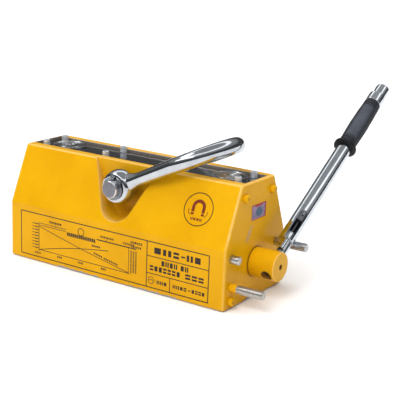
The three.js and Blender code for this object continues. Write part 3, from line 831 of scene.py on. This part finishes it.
def circlip():
    """An open retaining ring with two eyed lugs, flat in the local xy plane."""
    thick = 0.75
    gap, lug_turn, lean = (radians(a) for a in (11, 23, 21))

    def both_sides(radius, turn):
        up = pi / 2 - lean
        return on_circle(radius, (up - turn, up + turn))

    ring = lathe([(12, -thick), (16.3, -thick), (16.3, thick), (12, thick)], 96, closed=True)
    ring = combine(ring, [prism([(0, 0), *both_sides(40, gap)], -3, 3)])
    lugs = both_sides(16.4, lug_turn)
    ring = combine(ring, [shifted(rod(3, -thick, thick, 32), x, y) for x, y in lugs], "UNION")
    holes = [shifted(rod(1.25, -3, 3, 24), x, y) for x, y in lugs]
    return combine(ring, [*holes, rod(12, -3, 3, 96)])


CLIP_Y = 75.45
for name, sign in (("front", -1), ("rear", 1)):
    clip, replaced = circlip(), ["circlip_" + name]
    place = at(0, sign * CLIP_Y, PIN_Z, FROM_FRONT)
    piece("retaining_ring_" + name, clip, "housing", KEY_STEEL, place, "bare_steel", replaced)


# ---------- bail ----------
def bail_shape():
    """A bar bent to a half circle between two straight arms, flaring into an eye at each end."""
    reach, span, root = 157.5, 58, 15.5
    eye, half_eye, eye_edge, bore = 25, 15, 19.3, 12.9
    straight = reach - span - root
    bend = pi * span
    total = 2 * straight + bend
    steps = 220
    points, sizes = [], []
    for i in range(steps + 1):
        s = total * i / steps
        if s < straight:
            point = Vector((root + s, -span, 0))
        elif s > straight + bend:
            point = Vector((root + total - s, span, 0))
        else:
            angle = (s - straight) / span
            point = Vector((root + straight + span * sin(angle), -span * cos(angle), 0))
        flare = exp(-((min(s, total - s) / 13) ** 2))
        bar = 9.8 + 2.2 * sin(pi * i / steps) ** 2
        points.append(point)
        sizes.append((bar + 2.0 * flare, bar + 4.4 * flare))
    widest = asin(half_eye / eye)
    ball = on_circle(eye, spread(-widest, widest, 16)[1:-1])
    low, high = -half_eye, half_eye
    profile = [(0, low), (eye_edge, low), *ball, (eye_edge, high), (0, high)]
    eyes = [moved(shifted(lathe(profile, 96), z=side * span), ALONG_Y) for side in (-1, 1)]
    body = combine(sweep(points, sizes), eyes, "UNION")
    body = combine(body, [moved(rod(bore, -100, 100, 96), ALONG_Y)])

    def on_bore_edge(p):
        off_face = abs(abs(abs(p.y) - span) - half_eye)
        return abs(hypot(p.x, p.z) - bore) < 0.02 and off_face < 0.02

    return soften(body, 0.9, on_bore_edge, 2)


piece("forged_bail", bail_shape(), "bail", BAIL_CHROME, BAIL, "chrome_plate", ["bail"], smooth=50)


# ---------- drive hub and handle ----------
def hub_shape():
    corners = [
        (0, 167, 0), (15, 167, 0), (15, HALF + 0.6, 0), (HUB_RADIUS, HALF + 0.6, 0.6),
        (HUB_RADIUS, HUB_END, 1.4), (0, HUB_END, 0),
    ]
    body = moved(shifted(turned(corners, 128), z=-HANDLE_X), ALONG_X)
    cross = moved(rod(CROSS_HOLE, -45, 45, 64), HANDLE_LEAN)
    return combine(body, [cross, moved(rod(CENTRE_HOLE, 8.5, 20, 48), ALONG_X)])


place = at(HANDLE_X, 0, CORE_Z)
piece(
    "turned_hub", hub_shape(), "rotor", HUB_PAINT, place, "yellow_paint", ["drive_hub"], even=True
)


def slot_outline(half, start, end, steps=16):
    rounded_end = on_circle(half, spread(0, pi, steps), 0, end - half)
    return [(-half, start), (half, start), *rounded_end]


SLOT_FRAME = basis(across, Z, facing)
to_latch, to_knob = Matrix.Translation(LATCH_OFF), Matrix.Translation(KNOB_OFF)


def shank_shape():
    stem = turned([(0, -13, 0), (7.5, -13, 0.8), (7.5, 43.3, 0), (0, 43.3, 0)], 72)
    shifted(stem, -TUBE_AT[0], -TUBE_AT[1])
    plug_corners = [(0, 43, 0), (9.05, 43, 0.3), (9.05, 57, 0.6), (0, 57, 0)]
    body = combine(stem, [turned(plug_corners, 72)], "UNION")
    return combine(body, [moved(rod(4.7, 22.5, 60, 48), to_latch)])


def tube_shape():
    corners = [(9.35, 43.5, 0), (11.35, 43.5, 0.5), (11.35, 348.5, 0.5), (9.35, 348.5, 0)]
    wall = lathe(rounded(corners, steps=3), 96, closed=True)
    half, start, end = 5.2, 46.5, 97.5
    slot = moved(prism(slot_outline(half, start, end), 0, 20), SLOT_FRAME)
    body = combine(wall, [slot])

    def on_slot(p):
        beside = abs(p.dot(across)) < half + 0.1
        return p.dot(facing) > 7 and start - 0.1 < p.z < end + 0.1 and beside

    return soften(body, 0.35, on_slot, 2)


ROD_HOLE = 2.8


def key_shape():
    start, end, face = 79.3, 96.8, 11.1
    tab = moved(prism(slot_outline(4.9, start, end), 0, face), SLOT_FRAME)
    tab = combine(tab, [rod(face, start, end, 96)], "INTERSECT")
    body = combine(tab, [rod(9, start, 91, 72)], "UNION")
    hole = moved(rod(ROD_HOLE, 0, 348, 32), to_latch)
    dimple = moved(shifted(rod(1.7, 8.6, 12, 24), 0, 88), SLOT_FRAME)
    return combine(body, [hole, dimple])


def sleeve_shape():
    side = [(12.75, 341.8, 0.6), (12.75, 358.8, 0.4), (11.5, 360, 0.4)]
    body = turned([(0, 341.8, 0), *side, (0, 360, 0)])
    knob_room = moved(rod(11.1, 341, 361, 96), to_knob)
    return combine(body, [rod(11.65, 341, 348.8, 96), knob_room])


def knob_shape():
    corners = [(0, 358, 0), (10.8, 358, 0.4), (10.8, 382, 3.4), (0, 382, 0)]
    body = lathe(rounded(corners, closed=False, steps=8), 96)
    hole = moved(rod(ROD_HOLE, 350, 372.3, 32), to_latch @ to_knob.inverted())
    return combine(body, [hole])


GRIP_OUTLINE = [
    (11.65, 238.5), (16.0, 238.5), (17.0, 239.0), (17.4, 240.2), (17.4, 242.0), (17.0, 243.4),
    (16.0, 244.0), (14.4, 244.8),
]


def swell(s):
    for (s0, r0), (s1, r1) in zip(GRIP_SWELL, GRIP_SWELL[1:]):
        if s <= s1:
            share = (s - s0) / (s1 - s0)
            return r0 + (r1 - r0) * share * share * (3 - 2 * share)
    return GRIP_SWELL[-1][1]


def grip_shape():
    """A moulded grip: a flange, then close ribs that fade on the two smoother panels."""
    start, end = GRIP_SWELL[0][0], GRIP_SWELL[-1][0]
    steps = int((end - start) / RIB_PITCH * 10)
    profile = GRIP_OUTLINE + [(swell(s), s) for s in spread(start, end, steps)]
    profile += [(12.3, 341.1), (12.0, 341.5), (11.65, 341.5)]

    def ribs(angle, s):
        if not start <= s <= end:
            return 0
        panel = cos(angle - SMOOTH_PANEL) ** 2
        from_end = PANEL_REACH + PANEL_FADE - abs(s - PANEL_MIDDLE)
        along = min(1, max(0, from_end / PANEL_FADE))
        depth = 1 - 0.85 * panel * along
        return depth * (0.5 - 0.5 * cos(TURN * (s - start) / RIB_PITCH))

    return lathe(profile, 96, closed=True, depth=ribs)


def guide_shape():
    corners = [(3.3, 26.4, 0.2), (4.4, 26.4, 0.3), (4.4, 57, 0), (3.3, 57, 0)]
    return lathe(rounded(corners, steps=2), 64, closed=True)


HANDLE_PIECES = [
    ("turned_shank", shank_shape(), "rotor", CHROME, TUBE_AXIS, "chrome_plate", "handle_shank"),
    ("drawn_tube", tube_shape(), "rotor", TUBE_CHROME, TUBE_AXIS, "chrome_plate", "handle_tube"),
    ("guide_bushing", guide_shape(), "rotor", CHROME, LATCH_AXIS, "chrome_plate", "latch_guide"),
    ("end_sleeve", sleeve_shape(), "rotor", CHROME, TUBE_AXIS, "chrome_plate", "tip_sleeve"),
    ("moulded_grip", grip_shape(), "rotor", RUBBER, TUBE_AXIS, "grip_rubber", "handle_grip"),
    ("sliding_key", key_shape(), "latch", KEY_STEEL, TUBE_AXIS, "bare_steel", "latch_key"),
    ("push_knob", knob_shape(), "latch", CHROME, KNOB_AXIS, "chrome_plate", "latch_knob"),
]
for *wanted, replaced in HANDLE_PIECES:
    piece(*wanted, [replaced], smooth=60 if replaced == "handle_grip" else 32)

# ---------- CAD nodes that stay ----------
KEPT = [
    (BRASS, ("bottom_spacer", "bush_drive", "bush_far", "core_disc_drive")),
    (STEEL, ("pin_block", "core_pole_upper", "core_pole_lower", "core_disc_far", "spring_seat")),
    (MAGNET, ("fixed_magnet_far", "fixed_magnet_drive", "core_magnet")),
    (PLATE, ("top_plate",)),
    (OILED_STEEL, ("latch_rod", "latch_spring")),
]
for look, names in KEPT:
    for name in names:
        for material_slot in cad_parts[name].material_slots:
            material_slot.material = look


# ---------- printing ----------
class Print:
    """Flat shapes of ink, as thin closed solids in a plane's own x and y."""

    def __init__(self, thickness=0.12, sunk=0.06):
        self.bm = bmesh.new()
        self.low, self.high = -sunk, thickness

    def shape(self, outline):
        extrude(self.bm, outline, self.low, self.high)
        return self

    def bar(self, x0, x1, y0, y1):
        return self.shape([(x0, y0), (x1, y0), (x1, y1), (x0, y1)])

    def bars(self, *rows):
        for row in rows:
            self.bar(*row)
        return self

    def path(self, points, width):
        """One strip through the points."""
        left, right = [], []
        for i, point in enumerate(points):
            ahead = Vector(points[min(i + 1, len(points) - 1)])
            behind = Vector(points[max(i - 1, 0)])
            side = (ahead - behind).normalized().orthogonal() * width / 2
            left.append(tuple(Vector(point) + side))
            right.append(tuple(Vector(point) - side))
        for i in range(len(points) - 1):
            self.shape([right[i], right[i + 1], left[i + 1], left[i]])
        return self

    def arc(self, x, y, radius, width, start=0, end=360, steps=48):
        angles = [radians(a) for a in spread(start, end, steps)]
        return self.path(on_circle(radius, angles, x, y), width)

    def oval(self, x, y, half_width, half_height, steps=64):
        angles = [TURN * i / steps for i in range(steps)]
        circle = on_circle(1, angles)
        return self.shape([(x + half_width * a, y + half_height * b) for a, b in circle])

    def word(self, x0, x1, y, height, marks, chance):
        """A row of marks that stand for print too small or too particular to show."""
        filled, stroke, solid = 0.78, 0.38, 0.34
        pitch = (x1 - x0) / marks
        for i in range(marks):
            left, right = x0 + pitch * i, x0 + pitch * (i + filled)
            low, high, middle = y - height / 2, y + height / 2, (left + right) / 2
            kind = chance.choice(("columns", "rows", "block"))
            if kind == "columns":
                self.bar(left, left + stroke * (right - left), low, high)
                self.bar(right - stroke * (right - left), right, low, high)
            elif kind == "rows":
                self.bar(left, right, low, low + stroke * height)
                self.bar(left, right, high - stroke * height, high)
            else:
                self.bar(middle - solid * pitch, middle + solid * pitch, low, high)

    def done(self):
        return outward(self.bm)


def curve(start, end, sag, steps=14):
    """Points from start to end, bowed upwards by sag."""
    shares = spread(0, 1, steps)
    points = [Vector(start).lerp(Vector(end), t) for t in shares]
    return [(p.x, p.y + sag * sin(pi * t)) for p, t in zip(points, shares)]


def rating_frame(panel):
    """The panel's outline and the lines that divide it."""
    thin, thick = 0.575, 0.7
    left, right, low, high = -168.8, 165.2, 8.5, 74.3
    divider, row_top, row_low, split = 63.5, 53.8, 29.0, 103.0
    for y in (low, high):
        panel.bar(left - thick, right + thick, y - thick, y + thick)
    for x in (left, divider, right):
        panel.bar(x - thick, x + thick, low + thick, high - thick)
    for y in (row_top, row_low):
        panel.bar(divider + thick, right - thick, y - thin, y + thin)
    panel.bar(split - thin, split + thin, low + thick, row_low - thin)


def rating_chart(panel, chance):
    """The load chart, as axes, ticks, two plain curves, hatching and rows of marks."""
    left, right, low, high, line = -134, 32, 20, 59, 0.95
    panel.bars(
        (left - 0.5, left + 0.5, low - 3, high + 3),
        (left + 0.5, right + 3, low - 0.45, low + 0.45),
        (right - 0.4, right + 0.4, low + 0.45, high),
    )
    ticks = 9
    for i in range(ticks):
        y = low + 2 + (high - low - 2) * i / (ticks - 1)
        panel.bar(left - 9, left - 1.2, y - 0.75, y + 0.75)
        panel.bar(left - 13, left - 10.4, y - 0.6, y + 0.6)
    panel.path(curve((left, 56), (right, low + 1), -1.5), line)
    panel.path(curve((left, low), (-4, 45), 2.5), line)
    panel.bars((left + 0.5, -82, 57.4, 58.3), (left + 0.5, -82, 60.6, 61.4), (-25, 45, 57.0, 58.6))
    hatch = 14
    for i in range(hatch):
        x = -80 + 53 * i / hatch
        panel.bar(x, x + 2.9, 53.2, 57.4)
    panel.bar(-80, -27, 52.2, 53.0)
    panel.arc(-54, 62.6, 5.4, 1.1)
    panel.word(-114, -90, 66, 3.4, 7, chance)
    panel.bar(-101.6, -100.8, 59, 63.4)
    panel.word(-19, 6, 63.5, 2.8, 8, chance)
    panel.bar(-7.4, -6.6, 58.6, 61.4)
    panel.word(22, 42, 62.5, 2.8, 6, chance)
    for x in (-94, -54, -12):
        panel.word(x - 5, x + 5, 16.2, 3.0, 3, chance)
    panel.word(left - 8, left + 4, 14.6, 2.8, 4, chance)
    for x, pitch in ((36.4, 2.1), (40.6, 1.7), (44.8, 1.9)):
        y = 54
        while y > 22:
            panel.bar(x - 1.2, x + 1.2, y - pitch * 0.6, y)
            y -= pitch
    panel.word(35, 56, 66.5, 3.4, 6, chance)
    panel.word(36, 54, 60.6, 2.6, 6, chance)
    for x0, x1, y0, y1 in ((-30, -14, 33.4, 30.2), (-12, 14, 29.4, 24.6)):
        count = int((x1 - x0) / 3)
        for i in range(count):
            x = x0 + (x1 - x0) * i / count
            y = y0 + (y1 - y0) * i / count + 3
            panel.bar(x, x + 2.2, y - 1.3, y + 1.3)
    panel.word(-34, -18, 47.0, 2.8, 5, chance)


def rating_rows(panel, chance):
    """The rows of marks right of the chart, and a small arc for an icon."""
    wide = 0.2
    for x0, x1 in ((75, 88.5), (90.5, 105), (107.6, 117.4), (129.4, 140.2), (142, 153)):
        panel.word(x0, x1 + wide * (x1 - x0), 63.2, 8.8, 1, chance)
    panel.bar(120.4, 127, 62.2, 64.4)
    middle_rows = ((88, 116, 47, 4), (120, 134, 47, 2), (69, 121, 37.2, 7), (128, 160, 37.2, 3))
    for x0, x1, y, marks in middle_rows:
        panel.word(x0, x1, y, 7.2, marks, chance)
    panel.arc(71.5, 19, 5.6, 0.9, steps=5)
    panel.arc(71.5, 17, 3.2, 0.8, 20, 160, steps=10)
    low_row, tall = 18.4, 5.0
    panel.word(81, 99, low_row, tall, 3, chance)
    panel.word(108, 132, low_row, tall, 4, chance)
    panel.bar(133.4, 137.4, 17.6, 19.0)
    panel.word(139, 161, low_row, tall, 4, chance)


def rating_label():
    panel, chance = Print(), random.Random(7)
    rating_frame(panel)
    rating_chart(panel, chance)
    rating_rows(panel, chance)
    return panel.done()


FRONT_FACE = at(0, -SIDE_Y, 0, FROM_FRONT)
piece("rating_print", rating_label(), "housing", BLACK_INK, FRONT_FACE)

up_slope = Vector((0, SIDE_Y - TOP_Y, TOP_Z - KNEE_Z)).normalized()
BADGE_X, BADGE_Z = 133, 128
badge_y = -(SIDE_Y - (BADGE_Z - KNEE_Z) * SLOPE)
BADGE = at(BADGE_X, badge_y, BADGE_Z, basis(X, up_slope, X.cross(up_slope)))


def badge_marks():
    """A plain horseshoe magnet over a row of marks."""
    marks = Print(0.16)
    marks.arc(0, 3.0, 8.2, 4.6, 0, 180, 24)
    for side in (-1, 1):
        inner, outer = sorted((side * 5.9, side * 10.5))
        marks.bars((inner, outer, -4.2, 3.0), (inner, outer, -8.2, -5.2))
    for x, start, end in ((-8.2, 242, 160), (8.2, -62, 20)):
        marks.arc(x, -3, 6.8, 0.9, start, end, 10)
    marks.word(-9, 10, -13.6, 3.6, 4, random.Random(3))
    return marks.done()


ring = Print().arc(0, 0, 22.4, 1.25, steps=96)
piece("badge_ring", ring.done(), "housing", BLACK_INK, BADGE)
piece("badge_marks", badge_marks(), "housing", BROWN_INK, BADGE)

END_FACE = at(HALF, 0, 0, ALONG_X)
left, right, low, high = -16, 21.5, 113, 134
ground = Print(0.08).bar(left, right, low, high)
border = Print(0.14, -0.02).bars(
    (left, right, low, low + 1),
    (left, right, high - 1.8, high),
    (left, left + 1, low + 1, high - 1.8),
    (right - 3.1, right, low + 1, high - 1.8),
    (-6, 10, high - 3.8, high - 1.8),
)
marks = Print(0.14, -0.02).oval(3.4, 122.6, 8.6, 6.6)
marks.bars((-13, -7.4, 117.0, 118.4), (-13, -8.4, 120.2, 121.6))
marks.bars((13.2, 17, 120.4, 122.0), (13.2, 16.4, 124.6, 126.2))
piece("sticker_ground", ground.done(), "housing", GREY_INK, END_FACE)
piece("sticker_frame", border.done(), "housing", RED_INK, END_FACE)
piece("sticker_marks", marks.done(), "housing", TEAL_INK, END_FACE)


# ---------- floor and light ----------
FLOOR_HALF = 24000


def make_floor():
    slab = block((-FLOOR_HALF, FLOOR_HALF), (-FLOOR_HALF, FLOOR_HALF), (-20, -0.05))
    mesh = mesh_of(in_metres(slab), "floor")
    look = Look("floor", Specular_IOR_Level=0.1)
    shade = look.blend(look.noise(900, 2), (0.95, 0.95, 0.95), (0.97, 0.97, 0.97))
    mesh.materials.append(look.finish(shade, look.levels(look.noise(40), 0.3, 0.7, 0.85, 0.95)))
    floor = placed("floor", mesh)
    floor.matrix_world = at()


# The studio's brightness from straight down to straight up: a dim band, then a bright ceiling.
TONES = [
    (0.0, 0.10), (0.34, 0.14), (0.50, 0.55), (0.67, 0.62), (0.72, 3.0), (0.80, 3.0),
    (0.85, 0.66), (1.0, 0.6),
]
BACKDROP = 1.6
STUDIO_STRENGTH = 0.62


def make_world():
    """The studio, which gives the chrome its dark and bright streaks."""
    world = bpy.data.worlds.new("studio")
    world.use_nodes = True
    nodes, links = world.node_tree.nodes, world.node_tree.links
    coords = nodes.new("ShaderNodeTexCoord")
    split = nodes.new("ShaderNodeSeparateXYZ")
    ramp = nodes.new("ShaderNodeValToRGB")
    links.new(coords.outputs["Generated"], split.inputs[0])
    links.new(split.outputs["Z"], ramp.inputs[0])
    # Seen directly, the studio is an even pale backdrop.
    path = nodes.new("ShaderNodeLightPath")
    seen = nodes.new("ShaderNodeMix")
    seen.data_type = "RGBA"
    links.new(path.outputs["Is Camera Ray"], seen.inputs[0])
    links.new(ramp.outputs[0], seen.inputs[6])
    seen.inputs[7].default_value = (BACKDROP, BACKDROP, BACKDROP, 1)
    links.new(seen.outputs[2], nodes["Background"].inputs["Color"])
    nodes["Background"].inputs["Strength"].default_value = STUDIO_STRENGTH
    elements = ramp.color_ramp.elements
    while len(elements) < len(TONES):
        elements.new(0.5)
    for element, (position, tone) in zip(elements, TONES):
        element.position = position
        element.color = (tone, tone, tone, 1)
    bpy.context.scene.world = world


LIGHTS_AIM_AT = (0, 0, 90)


def make_light(name, place, size, power, glossy=True):
    """A sun whose size is its angle in degrees, or an area light whose size is in metres."""
    data = bpy.data.lights.new(name, "AREA" if isinstance(size, tuple) else "SUN")
    data.energy = power
    if data.type == "SUN":
        data.angle = radians(size)
    else:
        data.shape = "RECTANGLE"
        data.size, data.size_y = size
    light = placed(name, data)
    light.visible_glossy = glossy
    start, end = at(*place).translation, at(*LIGHTS_AIM_AT).translation
    turn = (end - start).to_track_quat("-Z", "Y").to_matrix().to_4x4()
    light.matrix_world = Matrix.Translation(start) @ turn


make_floor()
make_world()
make_light("key", (230, -1600, 1500), 28, 1.42, glossy=False)
make_light("top", (300, 300, 2200), 60, 1.1, glossy=False)
make_light("glint", (-1100, -550, 1900), 20, 0.35)
make_light("strip", (-500, -1500, 1500), (2.2, 0.35), 6)
bpy.context.scene.view_settings.view_transform = "Standard"
